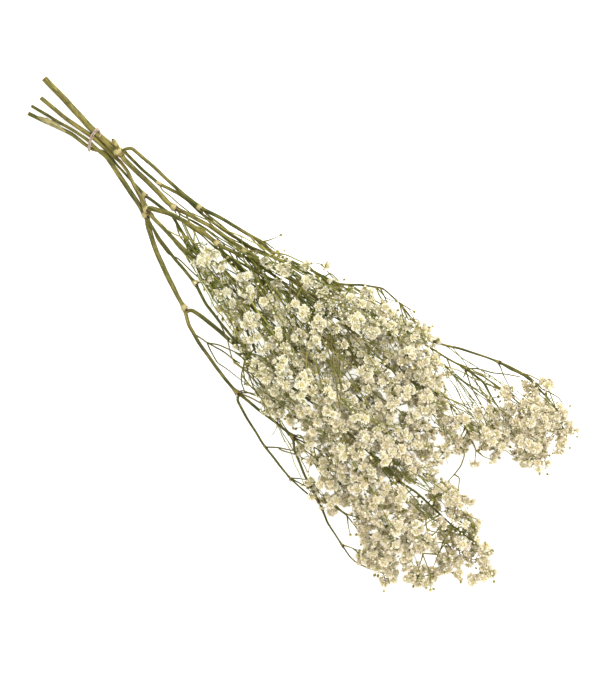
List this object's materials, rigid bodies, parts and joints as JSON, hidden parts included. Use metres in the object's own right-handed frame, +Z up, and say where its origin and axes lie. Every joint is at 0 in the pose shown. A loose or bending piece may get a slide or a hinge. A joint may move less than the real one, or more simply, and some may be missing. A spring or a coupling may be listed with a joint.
{
  "type": "dried gypsophila bunch",
  "caption": "Tied bunch of cut dried gypsophila, lying down: olive stems held by a tan rubber band, forking into a wide airy head of small cream double florets.",
  "frame": {"origin": "the middle of the bunch's box, on the surface that it lies on", "axes": "+X runs along the bunch from the cut ends towards the blossom, +Y across it, +Z up from the surface"},
  "size_m": [0.5686, 0.218, 0.0885],
  "materials": {
    "stem_green": "dry, faintly ridged, matte olive with paler swollen nodes",
    "blossom_cream": "papery, matte, cream with beige and tan tints",
    "band_tan": "satin pinkish tan",
    "dried_leaf": "dry, matte, straw coloured"
  },
  "bodies": {
    "root": {"cut_stem_dark": "stem_green", "cut_stem_low": "stem_green", "cut_stem_pale": "stem_green", "cut_stem_thick": "stem_green", "dried_sheath": "dried_leaf", "shoot_bottom": "stem_green", "shoot_bottom_upper": "stem_green", "shoot_centre": "stem_green", "shoot_centre_low": "stem_green", "shoot_edge": "stem_green", "shoot_edge_low": "stem_green", "shoot_far_low": "stem_green", "shoot_far_middle": "stem_green", "shoot_far_upper": "stem_green", "shoot_far_upper_low": "stem_green", "shoot_low": "stem_green", "shoot_low_straight": "stem_green", "shoot_middle": "stem_green", "shoot_thin": "stem_green", "shoot_top": "stem_green", "shoot_upper_thin": "stem_green", "spray_bottom_edge": "blossom_cream", "spray_bright_knot": "blossom_cream", "spray_centre_far": "blossom_cream", "spray_centre_large": "blossom_cream", "spray_crest": "blossom_cream", "spray_crest_near": "blossom_cream", "spray_crest_top": "blossom_cream", "spray_crown": "blossom_cream", "spray_crown_far": "blossom_cream", "spray_edge_knot": "blossom_cream", "spray_edge_low": "blossom_cream", "spray_far_bright": "blossom_cream", "spray_far_crown": "blossom_cream", "spray_far_edge": "blossom_cream", "spray_fork_edge": "blossom_cream", "spray_heel": "blossom_cream", "spray_inner_edge": "blossom_cream", "spray_inner_low": "blossom_cream", "spray_inner_top": "blossom_cream", "spray_inner_upper": "blossom_cream", "spray_low_bright": "blossom_cream", "spray_low_knot": "blossom_cream", "spray_mid_bright": "blossom_cream", "spray_mid_centre": "blossom_cream", "spray_mid_knot": "blossom_cream", "spray_mid_upper": "blossom_cream", "spray_middle_right": "blossom_cream", "spray_near_centre": "blossom_cream", "spray_near_low": "blossom_cream", "spray_near_upper": "blossom_cream", "spray_right": "blossom_cream", "spray_right_low": "blossom_cream", "spray_right_small": "blossom_cream", "spray_tip": "blossom_cream", "spray_tip_low": "blossom_cream", "spray_top_edge": "blossom_cream", "spray_upper_large": "blossom_cream", "spray_white_knot": "blossom_cream", "tie_band": "band_tan"}
  },
  "joints": []
}
